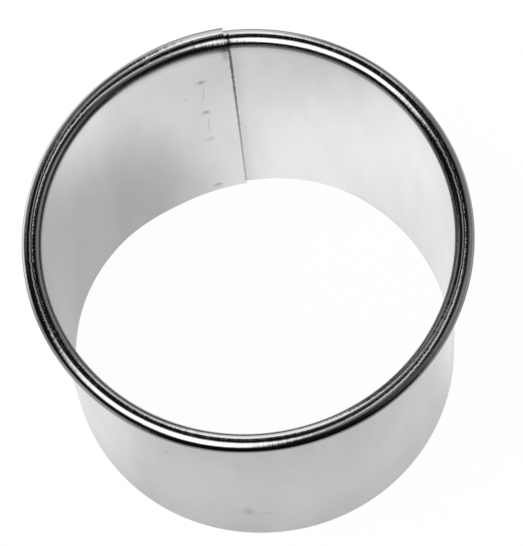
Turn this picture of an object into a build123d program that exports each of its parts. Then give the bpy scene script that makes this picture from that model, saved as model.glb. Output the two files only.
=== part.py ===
from build123d import *
import os
from math import acos, cos, degrees, pi, radians, sin

# A round biscuit cutter with a rolled rim.
#
# One strip of thin steel sheet is bent into a ring. Its upper edge is curled outwards into a hollow round rim,
# its lower edge is left plain and does the cutting, and its two ends lap at the back, where spot welds join them.
# The end that shows inside the ring is the over end. Its rim is wrapped round the rim of the other, the under end.
#
# The origin is the centre of the cutting edge. +Z points up to the rim, and the middle of the lap faces +Y.

# Driving sizes, in millimetres
cut_radius = 20.0  # inside of the wall, so the biscuits are 40 mm across
height = 34.5  # cutting edge to the top of the rim, away from the lap
sheet = 0.25  # thickness of the strip
bead_radius = 0.97  # outside radius of the rolled rim's own cross-section
curl_gap = 0.12  # opening left between the curled edge and the wall
lap_width = 6.5  # strip that lies double at the seam
lap_gap = 0.05  # air between the two layers of the lap
joggle_start = 0.5  # from the under end to where the over layer starts to step back out
joggle_length = 9.0  # strip in which it steps out to the ring's own radius
seam_flat = 0.76  # how far the cutting edge is flattened inwards beside the lap
flat_reach = 20.0  # how far round the ring the flat runs, each way from the under end
weld_radius = 0.55  # radius of each spot weld
weld_dish = 0.06  # depth that the welding tips press in, on both faces
overrun = 1.0  # how far every cutting tool runs past what it cuts

# Heights of the spot welds, as shares of the height, from the cutting edge up
weld_height_shares = (0.04, 0.195, 0.395, 0.59, 0.8)

# The strip is drawn at this many places round the ring, and each curl is drawn in this many arcs
stations = 81
curl_arcs = 3

# Places that follow from the sizes
lap_middle = 90.0
lap_angle = degrees(lap_width / cut_radius)
over_end = lap_middle - lap_angle / 2
under_end = lap_middle + lap_angle / 2
strip_turn = 360.0 + lap_angle
lap_step = sheet + lap_gap
bead_centre_radius = cut_radius + bead_radius
bead_centre_height = height - bead_radius


def fade(distance, start, length):
    """1 up to start, then an even slope down to 0 over the length."""
    share = min(max((distance - start) / length, 0.0), 1.0)
    return (1 + cos(pi * share)) / 2


def arc_length(azimuth):
    """Distance along the wall from the over end, in millimetres."""
    return cut_radius * radians(azimuth - over_end)


def lift(azimuth):
    """How far the strip lies inside the ring's own radius, to pass over the under end."""
    return lap_step * fade(arc_length(azimuth), lap_width + joggle_start, joggle_length)


def flat(azimuth, z):
    """How far the wall is pushed in beside the lap: all of seam_flat at the cutting edge, and none at the rim."""
    away = abs((azimuth - under_end + 180) % 360 - 180)
    share = min(cut_radius * radians(away) / flat_reach, 1.0)
    return seam_flat * cos(pi / 2 * share) ** 2 * (1 - z / bead_centre_height)


def curl(centre, radius, start, end):
    """The arcs of one side of the curled edge, between two angles in degrees."""
    step = (end - start) / curl_arcs
    return [
        CenterArc(centre, radius, start + i * step, step) for i in range(curl_arcs)
    ]


def section(azimuth):
    """The strip's outline at one place: wall and curl, from below the cutting edge to the curled edge."""
    inside = cut_radius - lift(azimuth)
    inside_low = inside - flat(azimuth, -overrun)
    outer = bead_radius + lift(azimuth)
    inner = outer - sheet
    curl_end = -degrees(acos((sheet + curl_gap - bead_radius) / outer))
    centre = (bead_centre_radius, bead_centre_height)
    end_outwards = Vector(cos(radians(curl_end)), sin(radians(curl_end)))
    edges = [
        Line((inside_low, -overrun), (inside_low + sheet, -overrun)),
        Line((inside_low + sheet, -overrun), (inside + sheet, bead_centre_height)),
        *curl(centre, inner, 180, curl_end),
        Line(Vector(*centre) + end_outwards * inner, Vector(*centre) + end_outwards * outer),
        *curl(centre, outer, curl_end, 180),
        Line((inside, bead_centre_height), (inside_low, -overrun)),
    ]
    a = radians(azimuth)
    plane = Plane(origin=(0, 0, 0), x_dir=(cos(a), sin(a), 0), z_dir=(sin(a), -cos(a), 0))
    return plane * make_face(edges)


def weld_place(share):
    """Height of a weld, and the lap's inside and outside faces there, along +Y."""
    z = height * share
    pushed = flat(lap_middle, z)
    return z, cut_radius - lap_step - pushed, cut_radius + sheet - pushed


def rod(z, y_from, y_to):
    """A round rod of the weld's radius that lies along +Y, from one Y to the other."""
    plane = Plane(origin=(0, y_from, z), z_dir=(0, 1, 0))
    return plane * extrude(Circle(weld_radius), y_to - y_from)


def half_band(first, last):
    """The strip between two of its stations, trimmed at the cutting edge and pierced where the welds go through."""
    azimuths = [over_end + strip_turn * i / (stations - 1) for i in range(first, last + 1)]
    half = split(loft([section(a) for a in azimuths]), bisect_by=Plane.XY, keep=Keep.TOP)
    for share in weld_height_shares:
        z, inside, outside = weld_place(share)
        half -= rod(z, inside - overrun, outside + overrun)
    return half


def make_band():
    """The whole strip in one piece: the half that starts at the over end, and the half that ends at the under end."""
    middle = (stations - 1) // 2
    return half_band(0, middle) + half_band(middle, stations - 1)


def make_weld(share):
    """One spot weld: a plug of melted steel through both layers, pressed in a little at each face."""
    z, inside, outside = weld_place(share)
    return rod(z, inside + weld_dish, outside - weld_dish)


os.makedirs("parts", exist_ok=True)
export_step(make_band(), "parts/band.step")
for number, share in enumerate(weld_height_shares, start=1):
    export_step(make_weld(share), f"parts/spot_weld_{number}.step")
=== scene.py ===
from math import acos, cos, hypot, pi, radians, sin

import bmesh
import bpy
from mathutils import Matrix, Vector, noise


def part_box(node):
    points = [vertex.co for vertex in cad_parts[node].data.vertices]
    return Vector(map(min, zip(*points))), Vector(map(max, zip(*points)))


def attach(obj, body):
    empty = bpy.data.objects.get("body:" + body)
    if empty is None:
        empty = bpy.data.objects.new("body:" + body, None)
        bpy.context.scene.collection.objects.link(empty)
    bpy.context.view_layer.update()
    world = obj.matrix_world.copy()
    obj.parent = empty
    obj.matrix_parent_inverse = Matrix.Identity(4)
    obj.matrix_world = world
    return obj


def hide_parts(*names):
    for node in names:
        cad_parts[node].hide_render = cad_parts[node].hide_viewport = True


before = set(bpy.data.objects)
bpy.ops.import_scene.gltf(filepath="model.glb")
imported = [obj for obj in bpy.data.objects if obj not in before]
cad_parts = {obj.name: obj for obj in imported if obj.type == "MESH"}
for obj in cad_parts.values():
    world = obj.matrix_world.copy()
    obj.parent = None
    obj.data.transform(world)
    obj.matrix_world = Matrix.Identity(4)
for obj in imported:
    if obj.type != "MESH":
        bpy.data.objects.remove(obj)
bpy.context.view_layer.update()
scene = bpy.context.scene
mm = 0.001
print("frame loaded")


class Wire:
    # an output socket that can stand in a sum; each operator adds a Math node
    def __init__(self, tree, socket):
        self.tree, self.socket = tree, socket

    def math(self, operation, *values):
        node = self.tree.nodes.new("ShaderNodeMath")
        node.operation = operation
        for place, value in enumerate(values):
            plug(self.tree, node.inputs[place], value)
        return Wire(self.tree, node.outputs[0])

    def __add__(self, other):
        return self.math("ADD", self, other)

    def __radd__(self, other):
        return self.math("ADD", other, self)

    def __sub__(self, other):
        return self.math("SUBTRACT", self, other)

    def __rsub__(self, other):
        return self.math("SUBTRACT", other, self)

    def __mul__(self, other):
        return self.math("MULTIPLY", self, other)

    def __rmul__(self, other):
        return self.math("MULTIPLY", other, self)

    def __abs__(self):
        return self.math("ABSOLUTE", self)


def plug(tree, socket, value):
    if isinstance(value, Wire):
        tree.links.new(value.socket, socket)
    else:
        socket.default_value = value


class Shader:
    # the node tree of a material or of the world
    def __init__(self, owner):
        owner.use_nodes = True
        self.owner, self.tree = owner, owner.node_tree
        self.tree.nodes.clear()

    def add(self, kind, settings, sockets, out=0):
        node = self.tree.nodes.new("ShaderNode" + kind)
        for name, value in settings.items():
            setattr(node, name, value)
        for name, value in sockets.items():
            plug(self.tree, node.inputs[name], value)
        if kind.startswith("Output"):
            return self.owner
        return Wire(self.tree, node.outputs[out])

    def smooth(self, value, low, high):
        span = {"Value": value, "From Min": low, "From Max": high}
        return self.add("MapRange", {"interpolation_type": "SMOOTHSTEP"}, span)

    def grain(self, vector, scale, detail):
        return self.add("TexNoise", {}, {"Vector": vector, "Scale": scale, "Detail": detail})

    def mix(self, factor, first, second):
        # inputs 6 and 7 and output 2 are the node's colours
        return self.add("Mix", {"data_type": "RGBA"}, {0: factor, 6: first, 7: second}, out=2)

    def position(self):
        # of the shaded point from the object's own origin, in metres
        return self.add("TexCoord", {}, {}, out="Object")

    def split(self, vector):
        return [self.add("SeparateXYZ", {}, {"Vector": vector}, out=axis) for axis in "XYZ"]

    def vector(self, x, y, z):
        return self.add("CombineXYZ", {}, {"X": x, "Y": y, "Z": z})

    def unit(self, vector):
        return self.add("VectorMath", {"operation": "NORMALIZE"}, {0: vector})

    def length(self, vector):
        return self.add("VectorMath", {"operation": "LENGTH"}, {0: vector}, out="Value")

    def distance(self, first, second):
        return self.add("VectorMath", {"operation": "DISTANCE"}, {0: first, 1: second}, out="Value")

    def along(self, vector, direction):
        return self.add("VectorMath", {"operation": "DOT_PRODUCT"}, {0: vector, 1: direction}, out="Value")

    def towards(self, vector, azimuth):
        # how far a vector reaches towards an azimuth in degrees
        return self.along(vector, (cos(radians(azimuth)), sin(radians(azimuth)), 0))

    def seen(self):
        # 1 for the camera, in a mirror and through something clear
        camera = self.add("LightPath", {}, {}, out="Is Camera Ray")
        glossy = self.add("LightPath", {}, {}, out="Is Glossy Ray")
        clear = self.add("LightPath", {}, {}, out="Is Transmission Ray")
        return camera.math("MAXIMUM", camera.math("MAXIMUM", camera, glossy), clear)

    def metal(self, colour, rough, depth, height):
        # with a bump of a depth in metres
        bump = self.add("Bump", {}, {"Strength": 1.0, "Distance": depth, "Height": height})
        look = {"Base Color": colour, "Metallic": 1.0, "Roughness": rough, "Normal": bump}
        return self.add("BsdfPrincipled", {}, look)

    def glow(self, light):
        return self.add("Emission", {}, {"Color": light, "Strength": 1.0})

    def output(self, surface):
        # gives the finished material back
        return self.add("OutputMaterial", {}, {"Surface": surface})


def makeThing(name, shape):
    mesh = bpy.data.meshes.new(name)
    shape.to_mesh(mesh)
    shape.free()
    thing = bpy.data.objects.new(name, mesh)
    scene.collection.objects.link(thing)
    return thing


def makeSteelPiece(name, shape):
    bmesh.ops.recalc_face_normals(shape, faces=shape.faces)
    for face in shape.faces:
        face.smooth = True
    piece = makeThing(name, shape)
    piece.data.set_sharp_from_angle(angle=radians(strip["sharpAngle"]))
    return piece


# The camera, by where it looks from: angles in degrees, shifts of the whole camera in metres
shot = {
    "lens": 214.9,
    "sensor": 36,
    "clipStart": 0.01,
    "distance": 0.34674,
    "azimuth": -7.7,
    "elevation": 69.56,
    "roll": -7.58,
    "right": -0.0002,
    "up": 0.0081,
}


def makeCamera():
    turn = Matrix.Rotation(radians(shot["azimuth"]), 3, "Z")
    tilt = radians(shot["elevation"])
    back = turn @ Vector((0, -cos(tilt), sin(tilt)))
    level = turn @ Vector((1, 0, 0))
    over = back.cross(level)
    roll = radians(shot["roll"])
    right = cos(roll) * level + sin(roll) * over
    up = cos(roll) * over - sin(roll) * level
    data = bpy.data.cameras.new("camera")
    data.lens = shot["lens"]
    data.sensor_width = shot["sensor"]
    data.clip_start = shot["clipStart"]
    camera = bpy.data.objects.new("camera", data)
    scene.collection.objects.link(camera)
    place = back * shot["distance"] + right * shot["right"] + up * shot["up"]
    camera.matrix_world = Matrix.Translation(place) @ Matrix((right, up, back)).transposed().to_4x4()
    scene.camera = camera


makeCamera()
print("camera placed")

# The strip, in metres, and its rolled rim, the bead. A turn round the curl is (start, length) of a fade, in
# radians from where the curl leaves the wall
strip = {
    "beadRadius": 0.97 * mm,
    "sheet": 0.25 * mm,
    "curlGap": 0.12 * mm,
    "lapWidth": 6.5 * mm,
    "lapGap": 0.05 * mm,
    "joggleStart": 0.5 * mm,
    "joggleLength": 9 * mm,
    "seamFlat": 0.76 * mm,
    "flatReach": 20 * mm,
    "edgeRound": 0.03 * mm,
    "endTrim": 0.35 * mm,  # how far the over end is cut back on the outside of the rim
    "trimReach": 2.5 * mm,
    "trimTurn": (0.0, 1.9),
    "tuckStart": -2 * mm,  # from each end to where the outside of the rim starts to draw in
    "tuckLength": 14 * mm,
    "tuckTurn": (0.2, 2.4),
    "markTurn": (0.1, 0.9),  # where the marks of curling set in
    "waveDepth": 0.02 * mm,  # slow waves in the wall, which die out just below the rim
    "waveSize": 11 * mm,
    "waveStretch": 0.7,
    "waveSeed": 5.5,
    "wavePower": 6,
    "shearDepth": 0.02 * mm,  # how ragged the cut ends are
    "shearSize": 0.5 * mm,
    "shearReach": 0.2 * mm,
    "step": 0.32 * mm,  # spacing of the mesh round the ring
    "fineStep": 0.1 * mm,  # the same beside the ends and the welds
    "rowStep": 1.2 * mm,
    "fineRowStep": 0.25 * mm,
    "fineEnd": 0.35 * mm,
    "fineWeld": 0.9 * mm,
    "curlRows": 64,
    "roundRows": 3,  # steps across each rounded cut edge
    "sharpAngle": 50,
    "curlMarks": [  # "turns" is how far each pattern changes in a radian of the curl
        {"size": 0.9 * mm, "turns": 0.5, "seed": 3.1, "depth": 0.006 * mm},  # wrinkles across the rim
        {"size": 4 * mm, "turns": 0.7, "seed": 8.4, "depth": 0.01 * mm},  # slow ripples
        {"size": 14 * mm, "turns": 7, "seed": 1.7, "depth": 0.002 * mm},  # long lanes round it
    ],
}
# The button of melted steel at each weld, in metres. Fades are (start, length), in radii from the middle
weld = {
    "radius": 0.55 * mm,
    "dish": 0.016 * mm,
    "dishFade": (0.35, 0.9),
    "stand": 0.006 * mm,
    "sink": 1.6,  # how far the button's border sinks in, as a share of its stand
    "sinkPower": 6,
    "spread": 0.92,  # radius of the button, as a share of the weld's
    "uneven": 0.16,  # of the outline
    "unevenScale": 1.3,
    "unevenSeed": 900,  # for each metre of height, so that no two buttons are alike
    "bump": 0.004 * mm,
    "bumpScale": 6000,
    "bumpSeed": 700,
    "around": 40,
    "rings": 9,
    "marked": (0.9, 0.5, 0.75, 1.0, 1.0),  # how strongly each weld is marked, from the cutting edge up
    "heatReach": 2,  # in radii
    "heatRagged": 1.1,
    "heatGrain": (2600.0, 4.0),
    "heatFrom": (0.25, 1.0),
    "coreFrom": (0.92, 1.15),
    "coreRough": 0.2,
    "grain": (1500.0, 3.0),
    "grainDepth": 0.006 * mm,
}

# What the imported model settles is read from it
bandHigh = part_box("band")[1]
cutRadius = bandHigh.x - 2 * strip["beadRadius"]
lapStep = strip["sheet"] + strip["lapGap"]
beadCentre = Vector((cutRadius + strip["beadRadius"], bandHigh.z - lapStep - strip["beadRadius"]))
overEnd = pi / 2 - strip["lapWidth"] / cutRadius / 2
turnLength = cutRadius * 2 * pi + strip["lapWidth"]
weldNodes = [name for name in sorted(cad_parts) if name.startswith("spot_weld")]
weldHeights = [(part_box(name)[0].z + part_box(name)[1].z) / 2 for name in weldNodes]


def azimuthAt(arc):
    # an arc is how far along the strip a place lies from the over end
    return overEnd + arc / cutRadius


def weldArc(side):
    # of the welds' middles, on the face inside the ring (-1) or outside it (1)
    middle = strip["lapWidth"] / 2
    return middle if side < 0 else turnLength - middle


def fade(distance, start, length):
    # 1 up to the start, then an even slope down to 0
    share = min(max((distance - start) / length, 0.0), 1.0)
    return (1 + cos(pi * share)) / 2


def lift(arc):
    # the over end lies inside the ring's own radius, to pass over the under end
    return lapStep * fade(arc, strip["lapWidth"] + strip["joggleStart"], strip["joggleLength"])


def flat(arc, z):
    # the wall is pushed in beside the lap, most at the cutting edge
    away = (azimuthAt(arc) - overEnd - strip["lapWidth"] / cutRadius + pi) % (2 * pi) - pi
    share = min(abs(away) * cutRadius / strip["flatReach"], 1.0)
    return strip["seamFlat"] * cos(pi / 2 * share) ** 2 * (1 - z / beadCentre.y)


def tuck(arc):
    # the over end's rim draws in sooner than its wall steps out, and so does the under end's rim inside it
    under = arc - turnLength + strip["lapWidth"]
    start, length = strip["tuckStart"], strip["tuckLength"]
    return lift(arc) + lapStep * (1 - fade(arc, start, length) - fade(under, start, length))


def curlEnd(outer):
    # the angle at which the curl stops, just short of the wall
    return -acos((strip["sheet"] + strip["curlGap"] - strip["beadRadius"]) / outer)


def curlMark(arc, angle):
    depth = 0
    for mark in strip["curlMarks"]:
        where = Vector((arc / mark["size"], angle * mark["turns"], mark["seed"]))
        depth += noise.noise(where) * mark["depth"]
    return depth * (1 - fade(pi - angle, *strip["markTurn"]))


def wallMark(arc, z, side):
    # waves that both faces of the thin wall share, and the dish at each weld
    up = min(max(z / beadCentre.y, 0.0), 1.0)
    size = strip["waveSize"]
    where = Vector((arc / size, z / size * strip["waveStretch"], strip["waveSeed"]))
    wave = noise.noise(where) * strip["waveDepth"] * (1 - up ** strip["wavePower"])
    dent = 0
    for height in weldHeights:
        reach = hypot(arc - weldArc(side), z - height) / weld["radius"]
        dent += weld["dish"] * fade(reach, *weld["dishFade"])
    return side * wave - dent


def wallRadius(arc, z, side):
    # of the face inside the ring (-1) or outside it (1)
    radius = cutRadius - lift(arc) - flat(arc, z) + (strip["sheet"] if side > 0 else 0)
    return radius + side * wallMark(arc, z, side)


def rowPlaces():
    # stations of the profile: which part of it, and the height or the share of the way along that part
    heights = [strip["edgeRound"]]
    while heights[-1] < beadCentre.y - strip["rowStep"]:
        near = min(abs(heights[-1] - z) for z in weldHeights) < strip["fineWeld"]
        heights.append(heights[-1] + strip["fineRowStep" if near else "rowStep"])
    count, rounds = strip["curlRows"], strip["roundRows"]
    rows = [("inside", z) for z in heights]
    rows += [("skin", i / count) for i in range(count + 1)]
    rows += [("tip", i / rounds) for i in range(1, rounds)]
    rows += [("lining", 2 * i / count) for i in range(count // 2 + 1)]
    rows += [("outside", z) for z in reversed(heights)]
    rows += [("edge", i / rounds) for i in range(1, rounds)]
    return rows


def arcPlaces():
    arcs = [0.0]
    while arcs[-1] < turnLength:
        ends = min(arcs[-1], turnLength - arcs[-1])
        near = ends < strip["fineEnd"] or abs(ends - weldArc(-1)) < strip["fineWeld"]
        arcs.append(arcs[-1] + strip["fineStep" if near else "step"])
    arcs[-1] = turnLength
    return arcs


def wallPoint(arc, part, place):
    # radius and height on the wall and its rounded cutting edge
    if part == "edge":
        half = strip["sheet"] / 2
        radius = wallRadius(arc, 0, -1) + half + half * cos(pi * place)
        return radius, strip["edgeRound"] * (1 - sin(pi * place))
    return wallRadius(arc, place, -1 if part == "inside" else 1), place


def curlPoint(arc, part, place):
    # radius, height and angle on the curl: its outer skin, its rounded tip and its lining
    outer = strip["beadRadius"] + lift(arc)
    sweep = pi - curlEnd(outer)
    if part == "skin":
        angle, radius = pi - sweep * place, outer
    elif part == "lining":
        angle, radius = curlEnd(outer) + sweep * place, outer - strip["sheet"]
    else:
        half = strip["sheet"] / 2
        angle = curlEnd(outer) - strip["edgeRound"] / outer * sin(pi * place)
        radius = outer - half + half * cos(pi * place)
    radius += curlMark(arc, angle) - tuck(arc) * (1 - fade(pi - angle, *strip["tuckTurn"]))
    return beadCentre.x + radius * cos(angle), beadCentre.y + radius * sin(angle), angle


def stripPoint(arc, row):
    part, place = row
    trim = 0.0
    if part in ("skin", "tip", "lining"):
        radius, z, angle = curlPoint(arc, part, place)
        outside = 1 - fade(pi - angle, *strip["trimTurn"])
        trim = strip["endTrim"] * outside * fade(arc, 0, strip["trimReach"])
    else:
        radius, z = wallPoint(arc, part, place)
    ends = min(arc, turnLength - arc)
    where = Vector((z / strip["shearSize"], radius / strip["shearSize"], arc))
    shear = noise.noise(where) * strip["shearDepth"] * fade(ends, 0, strip["shearReach"])
    azimuth = azimuthAt(arc + trim + shear)
    return Vector((radius * cos(azimuth), radius * sin(azimuth), z))


def closeEnd(shape, column, rows):
    # rungs across the cut end, from one face of the sheet to the other
    parts = {}
    for corner, (part, place) in zip(column, rows):
        parts.setdefault(part, []).append(corner)
    inside, outside = parts["inside"], parts["outside"][::-1]
    skin, lining = parts["skin"], parts["lining"][::-1]
    front, back = inside + skin[:1], outside + lining[:1]
    for i in range(len(front) - 1):
        shape.faces.new((front[i], front[i + 1], back[i + 1], back[i]))
    for i in range(len(lining) - 1):
        shape.faces.new((*skin[2 * i:2 * i + 3], lining[i + 1], lining[i]))
    shape.faces.new((skin[-1], *parts["tip"], lining[-1]))
    shape.faces.new((outside[0], *parts["edge"], inside[0]))


def makeBand():
    rows, arcs = rowPlaces(), arcPlaces()
    shape = bmesh.new()
    columns = [[shape.verts.new(stripPoint(arc, row)) for row in rows] for arc in arcs]
    for here, after in zip(columns, columns[1:]):
        for i in range(len(rows)):
            shape.faces.new((here[i - 1], here[i], after[i], after[i - 1]))
    closeEnd(shape, columns[0], rows)
    closeEnd(shape, columns[-1], rows)
    piece = makeSteelPiece("band_sheet", shape)
    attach(piece, "root")
    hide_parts("band")
    return piece


band = makeBand()
print("band made:", len(band.data.polygons), "faces")


def buttonPoint(turn, share, height, side):
    # one point of a button: share is how far out it lies, from its middle to its border
    scale, seed = weld["unevenScale"], height * weld["unevenSeed"] + side
    where = Vector((cos(turn) * scale, sin(turn) * scale, seed))
    reach = share * (1 + weld["uneven"] * noise.noise(where)) * weld["spread"] * weld["radius"]
    x, z = reach * cos(turn), reach * sin(turn)
    where = Vector((x * weld["bumpScale"], z * weld["bumpScale"], height * weld["bumpSeed"] + side))
    stand = weld["stand"] * (1 - weld["sink"] * share ** weld["sinkPower"])
    stand += noise.noise(where) * weld["bump"]
    radius = wallRadius(weldArc(side) - x, height + z, side) + side * stand
    azimuth = pi / 2 - x / cutRadius
    return Vector((radius * cos(azimuth), radius * sin(azimuth), height + z))


def makeWeld(name, height):
    # a shallow, uneven button of melted steel that fills its dish on both faces of the lap
    around, rings = weld["around"], weld["rings"]
    turns = [2 * pi * i / around for i in range(around)]
    shape = bmesh.new()
    borders = []
    for side in (-1, 1):
        loops = []
        for ring in range(rings, 0, -1):
            loops.append([shape.verts.new(buttonPoint(turn, ring / rings, height, side)) for turn in turns])
        for here, after in zip(loops, loops[1:]):
            for i in range(around):
                shape.faces.new((here[i - 1], here[i], after[i], after[i - 1]))
        shape.faces.new(loops[-1])
        borders.append(loops[0])
    inner, outer = borders
    for i in range(around):
        shape.faces.new((inner[i - 1], inner[i], outer[i], outer[i - 1]))
    piece = makeSteelPiece(name + "_button", shape)
    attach(piece, "root")
    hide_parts(name)
    return piece


buttons = [makeWeld(*spot) for spot in zip(weldNodes, weldHeights)]
print("welds made:", len(buttons))

# The steel. A pair that ends in "From" is where a mask starts and where it is full, and "Rise" is the same by
# height, in millimetres above the middle of the rim. Noises are (scale, detail)
steel = {
    "colour": (0.62, 0.62, 0.617, 1),
    "dullColour": (0.5, 0.5, 0.498, 1),
    "shadeAndGrimeColour": (0.09, 0.088, 0.085, 1),
    "heatColour": (0.31, 0.308, 0.305, 1),
    "coreColour": (0.13, 0.128, 0.125, 1),
    "dull": 0.4,
    "dullFrom": (0.3, 0.7),
    "heat": 0.75,
    "wallRough": 0.22,
    "cloudRough": 0.08,
    "lineRough": 0.04,
    "beadRough": 0.06,
    "streakRough": 0.12,
    "streakFrom": (0.5, 0.75),
    "rimRise": (-0.5, 0.3),  # where the satin wall turns into the polished rim
    "insideFrom": (0.5, 0.1),  # by how far the surface faces outwards
    "innerWallFrom": (-0.8, -0.97),
    "squeeze": 0.2,  # of the wrinkles, which run across the rim and so vary more round the ring
    "wrinkles": (1.6, 3.0),
    "hairs": (7.0, 2.0),
    "lineSqueeze": 0.03,  # of the rolling lines, which run round the wall
    "lineSeed": 3.0,
    "lines": (5.0, 3.0),
    "cloudSqueeze": 0.3,
    "clouds": (0.22, 4.0),
    "specks": (2400.0, 1.0),
    "speckFrom": (0.73, 0.8),
    "speck": 0.6,
    "ragged": 0.22,  # how far the edges of dirt and scratches wander, in millimetres
    "raggedGrain": (2500.0, 2.0),
    "bumpDepth": 0.028 * mm,
    "wrinkleBump": 0.8,
    "hairBump": 0.2,
    "lineBump": 0.015,
    "cloudBump": 0.05,
    "underRise": (-1.0, 0.1),  # shade on the inside of the wall, under the rim
    "underDark": 0.25,
}


def ringPlace(shader):
    # the shaded point, then how far round the wall and how high it lies, in millimetres
    place = shader.position()
    x, y, z = shader.split(place)
    return place, x.math("ARCTAN2", y, x) * (cutRadius / mm), z * (1 / mm)


def arcOf(azimuth):
    # from radians to millimetres round the wall
    return azimuth * cutRadius / mm


def riseMask(shader, tall, rise):
    return shader.smooth(tall, beadCentre.y / mm + rise[0], beadCentre.y / mm + rise[1])


def aimMask(shader, vector, azimuth, start, full):
    # by how far a vector reaches towards an azimuth in degrees
    return shader.smooth(shader.towards(vector, azimuth), start, full)


def heatMask(shader, place, arc, tall):
    # ragged grey smudge round each spot weld, and its small dark core
    here = shader.vector(arc, 0.0, tall)
    heat = 0.0
    for height, marked in zip(weldHeights, weld["marked"]):
        away = shader.distance(here, (arcOf(pi / 2), 0, height / mm))
        heat = shader.smooth(away, weld["heatReach"] * weld["radius"] / mm, 0.0) * marked + heat
    ragged = heat + (shader.grain(place, *weld["heatGrain"]) - 0.5) * weld["heatRagged"]
    return shader.smooth(ragged, *weld["heatFrom"]), shader.smooth(ragged, *weld["coreFrom"])


# Grime and painted shade at the lap, in millimetres: a thin dark line beside the over end, which is painted
# shadow in the crevice with some grime, a faint painted shadow beside that, and a darker patch up by the rim
seam = {
    "width": 0.19,  # of the line up by the rim
    "narrow": 0.4,  # share of the width that is lost down to the cutting edge
    "soft": 0.05,
    "end": 0.12,  # how far line and shade run on over the cut end
    "dark": 0.4,
    "darkUp": 0.5,  # what is added to that up by the rim
    "shadeFrom": (-1.5, -0.1),
    "shadeDark": 0.12,
    "patchAt": 0.4,
    "patchWide": 0.7,
    "patchRise": (-2.6, -1.2),
    "patchDark": 0.3,
}


# painted shade with some grime: the dark line stands in for the shadow in the crevice beside the over end
def seamGrimeAndShade(shader, arc, tall, ragged):
    beside = arc - arcOf(overEnd) + ragged
    up = shader.smooth(tall, 0.0, beadCentre.y / mm)
    width = seam["width"] * (up * seam["narrow"] + (1 - seam["narrow"]))
    end = shader.smooth(beside, seam["end"], 0.0)
    line = shader.smooth(beside + width, -seam["soft"], seam["soft"]) * end
    shade = shader.smooth(beside, *seam["shadeFrom"]) * end
    patch = shader.smooth(abs(arc - arcOf(overEnd) - seam["patchAt"]), seam["patchWide"], 0.0)
    patch = patch * riseMask(shader, tall, seam["patchRise"])
    line = line * (up * seam["darkUp"] + seam["dark"])
    return line + shade * seam["shadeDark"] + patch * seam["patchDark"]


# Painted shade: a dark line where the wall bends into the rim, along some stretches of the ring: heights in
# millimetres above the middle of the rim, and the rest in degrees
bend = {
    "rise": (-0.1, 0.1),
    "fall": (0.68, 0.45),
    "full": 0.6,  # share of each stretch's width in which it is darkest
    "stretches": [
        {"azimuth": 168, "wide": 60, "dark": 0.95},
        {"azimuth": 345, "wide": 35, "dark": 0.6},
        {"azimuth": 85, "wide": 50, "dark": 0.32},
    ],
}


# painted shade in the crease where the wall bends into the rim
def bendShade(shader, place, tall):
    shadeAndGrime = 0.0
    for stretch in bend["stretches"]:
        wide = radians(stretch["wide"])
        start, full = cutRadius * cos(wide), cutRadius * cos(wide * bend["full"])
        shadeAndGrime = aimMask(shader, place, stretch["azimuth"], start, full) * stretch["dark"] + shadeAndGrime
    return shadeAndGrime * riseMask(shader, tall, bend["rise"]) * riseMask(shader, tall, bend["fall"])


# Two fine scratches between the welds: heights, and how far to the left of the welds, in millimetres
scratch = {
    "strength": 0.5,
    "widthFrom": (0.08, 0.02),
    "endFade": 0.5,
    "ragged": 0.6,
    "lines": [
        {"low": 23.1, "high": 26.7, "lowSide": 0.14, "highSide": -0.22},
        {"low": 15.0, "high": 18.8, "lowSide": -0.05, "highSide": -0.12},
    ],
}


def scratchMask(shader, arc, tall, ragged):
    left = arc - arcOf(pi / 2) + ragged * scratch["ragged"]
    mask = 0.0
    for line in scratch["lines"]:
        slope = (line["highSide"] - line["lowSide"]) / (line["high"] - line["low"])
        off = left - line["lowSide"] - (tall - line["low"]) * slope
        stroke = shader.smooth(abs(off), *scratch["widthFrom"])
        stroke = stroke * shader.smooth(tall, line["low"], line["low"] + scratch["endFade"])
        stroke = stroke * shader.smooth(tall, line["high"], line["high"] - scratch["endFade"])
        mask = stroke + mask
    return mask * scratch["strength"]


# Faint stains on the outside of the wall: azimuths in degrees, heights and sizes in millimetres
stain = {
    "from": (1.2, 0.1),  # as shares of each spot's size
    "ragged": 3,
    "spots": [
        {"azimuth": -108.0, "height": 8.0, "wide": 0.72, "tall": 1.5, "dark": 0.62},
        {"azimuth": -102.6, "height": 7.4, "wide": 1.6, "tall": 0.7, "dark": 0.22},
        {"azimuth": -129.5, "height": 23.2, "wide": 0.35, "tall": 0.7, "dark": 0.35},
    ],
}


def stainMask(shader, arc, tall, ragged):
    mask = 0.0
    for spot in stain["spots"]:
        aside = (arc - arcOf(radians(spot["azimuth"]))) * (1 / spot["wide"])
        above = (tall - spot["height"]) * (1 / spot["tall"])
        away = shader.length(shader.vector(aside, above, 0.0)) + ragged * stain["ragged"]
        mask = shader.smooth(away, *stain["from"]) * spot["dark"] + mask
    return mask


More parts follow.
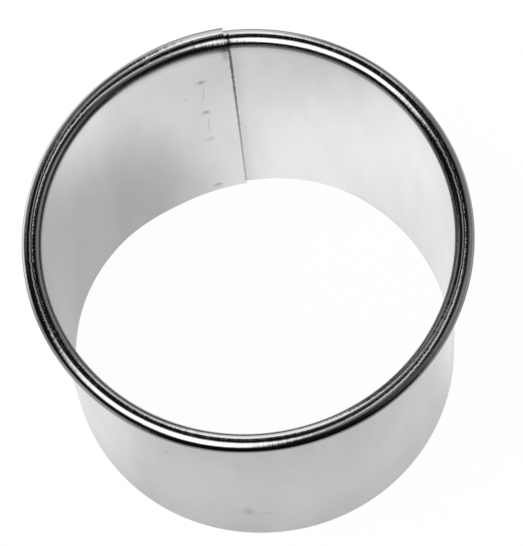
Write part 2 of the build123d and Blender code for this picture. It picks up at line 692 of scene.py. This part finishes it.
def makeSteel():
    shader = Shader(bpy.data.materials.new("sheet_steel"))
    place, arc, tall = ringPlace(shader)
    outwards = shader.add("VectorMath", {"operation": "MULTIPLY"}, {0: place, 1: (1, 1, 0)})
    deep = shader.length(outwards) * (1 / mm)
    normal = shader.add("NewGeometry", {}, {}, out="Normal")
    facing = shader.along(normal, outwards) * (1 / cutRadius)
    inside = shader.smooth(facing, *steel["insideFrom"])
    innerWall = shader.smooth(facing, *steel["innerWallFrom"])
    onBead = riseMask(shader, tall, steel["rimRise"])

    across = shader.vector(arc, deep * steel["squeeze"], tall * steel["squeeze"])
    wrinkles = shader.grain(across, *steel["wrinkles"])
    hairs = shader.grain(across, *steel["hairs"])
    lengthwise = shader.vector(arc * steel["lineSqueeze"], tall, steel["lineSeed"])
    lines = shader.grain(lengthwise, *steel["lines"])
    clouds = shader.grain(shader.vector(arc, deep, tall * steel["cloudSqueeze"]), *steel["clouds"])
    specks = shader.smooth(shader.grain(place, *steel["specks"]), *steel["speckFrom"])
    ragged = (shader.grain(place, *steel["raggedGrain"]) - 0.5) * steel["ragged"]

    warm, core = heatMask(shader, place, arc, tall)
    marked = warm * steel["heat"] + scratchMask(shader, arc, tall, ragged) * inside
    marked = marked + specks * steel["speck"] + stainMask(shader, arc, tall, ragged) * (1 - inside)
    # painted shade with some grime: the crevice shadow at the lap, the shade in the bend into the rim, and
    # the shade on the inside wall under the rim
    shadeAndGrime = inside * (seamGrimeAndShade(shader, arc, tall, ragged) + bendShade(shader, place, tall))
    shadeAndGrime = shadeAndGrime + riseMask(shader, tall, steel["underRise"]) * innerWall * steel["underDark"]
    dull = shader.smooth(clouds, *steel["dullFrom"]) * steel["dull"]
    colour = shader.mix(dull, steel["colour"], steel["dullColour"])
    colour = shader.mix(marked, colour, steel["heatColour"])
    colour = shader.mix(core, colour, steel["coreColour"])
    colour = shader.mix(shadeAndGrime, colour, steel["shadeAndGrimeColour"])

    wallRough = (clouds - 0.5) * steel["cloudRough"] + (lines - 0.5) * steel["lineRough"] + steel["wallRough"]
    beadRough = shader.smooth(wrinkles, *steel["streakFrom"]) * steel["streakRough"] + steel["beadRough"]
    rough = wallRough * (1 - onBead) + beadRough * onBead
    beadHeight = wrinkles * steel["wrinkleBump"] + hairs * steel["hairBump"]
    wallHeight = lines * steel["lineBump"] + clouds * steel["cloudBump"]
    height = beadHeight * onBead + wallHeight * (1 - onBead)
    return shader.output(shader.metal(colour, rough, steel["bumpDepth"], height))


def makeWeldSteel():
    shader = Shader(bpy.data.materials.new("weld_steel"))
    place, arc, tall = ringPlace(shader)
    warm, core = heatMask(shader, place, arc, tall)
    colour = shader.mix(warm * steel["heat"], steel["colour"], steel["heatColour"])
    colour = shader.mix(core, colour, steel["coreColour"])
    rough = core * weld["coreRough"] + steel["wallRough"]
    height = shader.grain(place, *weld["grain"])
    return shader.output(shader.metal(colour, rough, weld["grainDepth"], height))


band.data.materials.append(makeSteel())
weldSteel = makeWeldSteel()
for button in buttons:
    button.data.materials.append(weldSteel)
print("materials made")

# The studio: a white floor, a lamp and the plain light all round, in metres
studio = {
    "floorSize": 3.0,
    "floorGlow": 0.97,
    "paper": (0.93, 0.93, 0.93, 1),
    "segments": 64,
    "lampPlace": (-0.35, -0.1, 1.1),
    "lampSize": 0.9,
    "lampPower": 9.0,
    "worldLight": 0.6,
}


def makeStage(name, shape, material, mirroredOnly=True):
    # a studio object; most are seen in the metal and nowhere else
    thing = makeThing(name, shape)
    thing.data.materials.append(material)
    if mirroredOnly:
        thing.visible_camera = False
        thing.visible_diffuse = False
        thing.visible_transmission = False
        thing.visible_shadow = False


def makeDisc(radius, height):
    shape = bmesh.new()
    bmesh.ops.create_circle(shape, cap_ends=True, segments=studio["segments"], radius=radius)
    bmesh.ops.translate(shape, verts=shape.verts, vec=(0, 0, height))
    return shape


def makeFloor():
    shader = Shader(bpy.data.materials.new("floor"))
    paper = shader.add("BsdfDiffuse", {}, {"Color": studio["paper"]})
    white = shader.glow((1, 1, 1, 1))
    surface = shader.add("MixShader", {}, {0: shader.seen() * studio["floorGlow"], 1: paper, 2: white})
    makeStage("floor", makeDisc(studio["floorSize"], 0), shader.output(surface), mirroredOnly=False)


# The dark dome that the polished rim mirrors, with its bright panels and a bright hoop overhead. Azimuths are
# from +X and zeniths from straight up, in degrees
dome = {
    "radius": 1.0,
    "cuts": 5,
    "dark": 0.008,
    "panelFrom": (0.0, 0.1),
    "panels": [
        {"azimuth": 216, "zenith": 30, "wide": 24, "tall": 19, "soft": 9, "bright": 1.9},
        {"azimuth": 238, "zenith": 47, "wide": 16, "tall": 10, "soft": 8, "bright": 0.9},
        {"azimuth": 300, "zenith": 28, "wide": 14, "tall": 20, "soft": 8, "bright": 0.18},
        {"azimuth": 82, "zenith": 57, "wide": 11, "tall": 15, "soft": 5, "bright": 1.3},
        {"azimuth": 59, "zenith": 60, "wide": 10, "tall": 13, "soft": 6, "bright": 0.6},
        {"azimuth": 82, "zenith": 90, "wide": 12, "tall": 16, "soft": 8, "bright": 0.95},
        {"azimuth": 15, "zenith": 80, "wide": 42, "tall": 25, "soft": 12, "bright": 0.26},
        {"azimuth": 340, "zenith": 19, "wide": 16, "tall": 9, "soft": 7, "bright": 0.22},
        {"azimuth": 125, "zenith": 85, "wide": 18, "tall": 25, "soft": 9, "bright": 0.24},
        {"azimuth": 322, "zenith": 82, "wide": 18, "tall": 25, "soft": 12, "bright": 0.09},
        {"azimuth": 98, "zenith": 43, "wide": 8, "tall": 7, "soft": 6, "bright": 0.6},
        {"azimuth": 112, "zenith": 26, "wide": 12, "tall": 3, "soft": 3, "bright": 0.45},
    ],
    "hoop": {"azimuth": 0, "zenith": 19.5, "half": 1.5, "soft": 1.8, "bright": 0.85, "sideFrom": (0.1, 0.22)},
}


def panelLight(shader, way, panel):
    azimuth, zenith = radians(panel["azimuth"]), radians(panel["zenith"])
    centre = Vector((sin(zenith) * cos(azimuth), sin(zenith) * sin(azimuth), cos(zenith)))
    aside = Vector((-sin(azimuth), cos(azimuth), 0))
    soft = sin(radians(panel["soft"]))
    light = panel["bright"]
    for axis, reach in ((aside, panel["wide"]), (centre.cross(aside), panel["tall"])):
        border = sin(radians(reach))
        light = light * shader.smooth(abs(shader.along(way, axis)), border + soft, border - soft)
    return light * shader.smooth(shader.along(way, centre), *dome["panelFrom"])


def hoopLight(shader, way, hoop):
    zenith = radians(hoop["zenith"])
    off = abs(shader.along(way, (0, 0, 1)) - cos(zenith))
    full, end = radians(hoop["half"]), radians(hoop["half"] + hoop["soft"])
    light = shader.smooth(off, sin(zenith) * end, sin(zenith) * full)
    return light * aimMask(shader, way, hoop["azimuth"], *hoop["sideFrom"]) * hoop["bright"]


def makeDome():
    shader = Shader(bpy.data.materials.new("dome"))
    way = shader.unit(shader.position())
    light = dome["dark"]
    for panel in dome["panels"]:
        light = light + panelLight(shader, way, panel)
    light = light + hoopLight(shader, way, dome["hoop"])
    shape = bmesh.new()
    bmesh.ops.create_icosphere(shape, subdivisions=dome["cuts"], radius=dome["radius"])
    makeStage("dome", shape, shader.output(shader.glow(light)))


# A glowing card just above the floor, seen only in the metal, painted with the light and shade of the table:
# brighter to the right inside the ring, and outside it bright at the foot of the wall and dark beyond, but
# for a few glows. A reach is from where to where a change runs, in metres from the middle
tableGlow = {
    "height": 0.02 * mm,
    "middle": 0.95,
    "middleReach": (4 * mm, 12 * mm),
    "dark": 0.62,
    "lift": 0.63,
    "liftFrom": (-0.45, 0.4),
    "right": 0.2,
    "rightFrom": (0.6, 1.0),
    "wallSoft": 0.2 * mm,
    "foot": 0.79,
    "footSides": 0.3,
    "footSidesFrom": (0.8, 1.0),
    "footLow": 0.9,
    "footRise": 0.12,
    "footRiseReach": (20 * mm, 24 * mm),
    "near": 0.15,
    "nearReach": (29 * mm, 36 * mm),
    "farReach": (29 * mm, 58 * mm),
    "distantReach": (30 * mm, 200 * mm),
    "glows": [  # "rise" is how much brighter each gets far away
        {"azimuth": 134, "wide": 44, "bright": 1.75, "rise": -0.62},
        {"azimuth": 26, "wide": 50, "bright": 0.65, "rise": -0.62},
        {"azimuth": 195, "wide": 30, "bright": 0.55, "rise": -0.62},
        {"azimuth": 82, "wide": 24, "bright": 0.27, "rise": 2.5},
        {"azimuth": 338, "wide": 26, "bright": 0.35, "rise": -0.62},
    ],
}


def makeTable():
    shader = Shader(bpy.data.materials.new("tableGlow"))
    place = shader.position()
    way = shader.unit(place)
    right = shader.along(way, (1, 0, 0))
    reach = shader.length(place)
    lit = shader.smooth(right, *tableGlow["liftFrom"]) * tableGlow["lift"] + tableGlow["dark"]
    lit = lit - shader.smooth(right, *tableGlow["rightFrom"]) * tableGlow["right"]
    outwards = shader.smooth(reach, *tableGlow["middleReach"])
    inside = outwards * lit + (1 - outwards) * tableGlow["middle"]

    distant = shader.smooth(reach, *tableGlow["distantReach"])
    distant = distant * distant
    far = 0.0
    for glow in tableGlow["glows"]:
        mask = aimMask(shader, way, glow["azimuth"], cos(radians(glow["wide"])), 1.0)
        far = far + mask * (distant * glow["rise"] + 1) * glow["bright"]
    near = shader.smooth(reach, *tableGlow["nearReach"])
    beyond = shader.smooth(reach, *tableGlow["farReach"])
    # darker close in to the wall: a painted contact shadow at its foot
    foot = shader.smooth(reach, *tableGlow["footRiseReach"]) * tableGlow["footRise"] + tableGlow["footLow"]
    foot = foot * (shader.smooth(abs(right), *tableGlow["footSidesFrom"]) * tableGlow["footSides"] + 1)
    outside = far * beyond + (1 - near) * foot * tableGlow["foot"] + (1 - beyond) * near * tableGlow["near"]

    past = shader.smooth(reach, cutRadius - tableGlow["wallSoft"], cutRadius + tableGlow["wallSoft"])
    light = inside * (1 - past) + outside * past
    makeStage("tableGlow", makeDisc(dome["radius"], tableGlow["height"]), shader.output(shader.glow(light)))


# A low glowing collar round the ring, in place of lit paper, seen only in the metal, that keeps the wall
# bright from the sides
collar = {
    "radius": 31 * mm,
    "height": 31 * mm,
    "fullHeight": 25 * mm,
    "segments": 96,
    "light": 0.3,
    "footLight": 0.25,
    "footHeight": 12 * mm,
    "glows": [
        {"azimuth": 134, "wide": 45, "bright": 0.3},
        {"azimuth": 30, "wide": 45, "bright": 0.3},
        {"azimuth": 205, "wide": 30, "bright": 0.2},
        {"azimuth": 262, "wide": 30, "bright": 0.25},
        {"azimuth": 320, "wide": 20, "bright": 0.1},
    ],
}


def makeCollar():
    shader = Shader(bpy.data.materials.new("collar"))
    place = shader.position()
    tall = shader.along(place, (0, 0, 1))
    light = shader.smooth(tall, collar["footHeight"], 0.0) * collar["footLight"] + collar["light"]
    for glow in collar["glows"]:
        start = collar["radius"] * cos(radians(glow["wide"]))
        light = light + aimMask(shader, place, glow["azimuth"], start, collar["radius"]) * glow["bright"]
    solid = shader.smooth(tall, collar["height"], collar["fullHeight"])
    clear = shader.add("BsdfTransparent", {}, {"Color": (1, 1, 1, 1)})
    surface = shader.add("MixShader", {}, {0: solid, 1: clear, 2: shader.glow(light)})
    shape = bmesh.new()
    size = {"radius1": collar["radius"], "radius2": collar["radius"], "depth": collar["height"]}
    bmesh.ops.create_cone(shape, segments=collar["segments"], cap_ends=False, **size)
    bmesh.ops.translate(shape, verts=shape.verts, vec=(0, 0, collar["height"] / 2))
    makeStage("collar", shape, shader.output(surface))


def makeLights():
    scene.world = bpy.data.worlds.new("studio")
    shader = Shader(scene.world)
    seen = shader.seen()
    light = seen + (1 - seen) * studio["worldLight"]
    back = shader.add("Background", {}, {"Color": light, "Strength": 1.0})
    shader.add("OutputWorld", {}, {"Surface": back})
    data = bpy.data.lights.new("softbox", "AREA")
    data.shape = "DISK"
    data.size = studio["lampSize"]
    data.energy = studio["lampPower"]
    lamp = bpy.data.objects.new("softbox", data)
    lamp.location = studio["lampPlace"]
    lamp.rotation_euler = (-lamp.location).to_track_quat("-Z", "Y").to_euler()
    lamp.visible_glossy = False
    scene.collection.objects.link(lamp)


makeFloor()
makeDome()
makeTable()
makeCollar()
makeLights()
scene.view_settings.view_transform = "Standard"
print("studio made")
